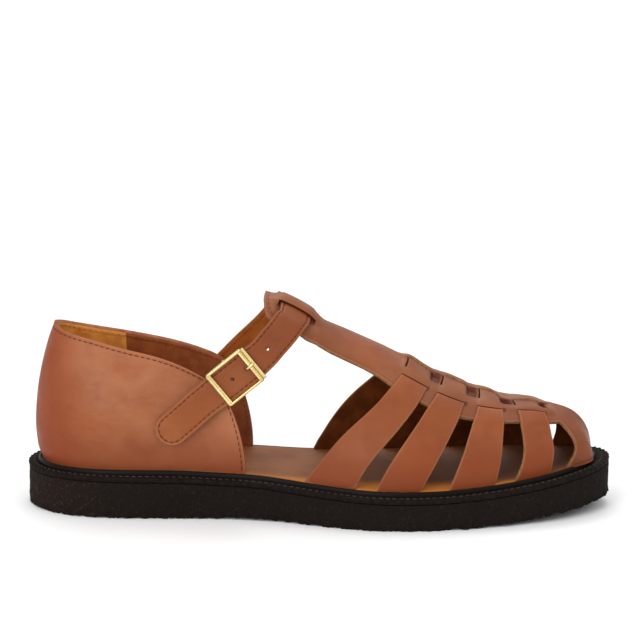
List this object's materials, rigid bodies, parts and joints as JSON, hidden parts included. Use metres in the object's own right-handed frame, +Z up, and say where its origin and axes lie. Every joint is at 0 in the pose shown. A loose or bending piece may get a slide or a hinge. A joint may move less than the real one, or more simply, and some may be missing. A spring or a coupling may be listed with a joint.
{
  "type": "fisherman sandal",
  "caption": "Woven leather fisherman sandal for the right foot, with a closed heel, T-bar, buckled ankle strap, storm welt and crepe sole.",
  "frame": {"origin": "middle of the heel's flat on the floor plane", "axes": "+X to the toe, +Y to the inner side of the foot, +Z up"},
  "size_m": [0.2694, 0.0978, 0.0996],
  "materials": {
    "upper": "smooth waxed full-grain, tan",
    "footbed": "matt vegetable-tanned, natural",
    "crepe": "cellular crepe with a buffed side",
    "welt": "dyed and waxed edge",
    "buckle": "polished"
  },
  "bodies": {
    "root": {"outsole": "crepe", "welt": "welt", "insole": "footbed", "heel_quarter": "upper", "vamp_upper": "upper", "ankle_strap": "upper", "buckle_tab": "upper", "buckle_frame": "buckle", "buckle_prong": "buckle"}
  },
  "joints": []
}
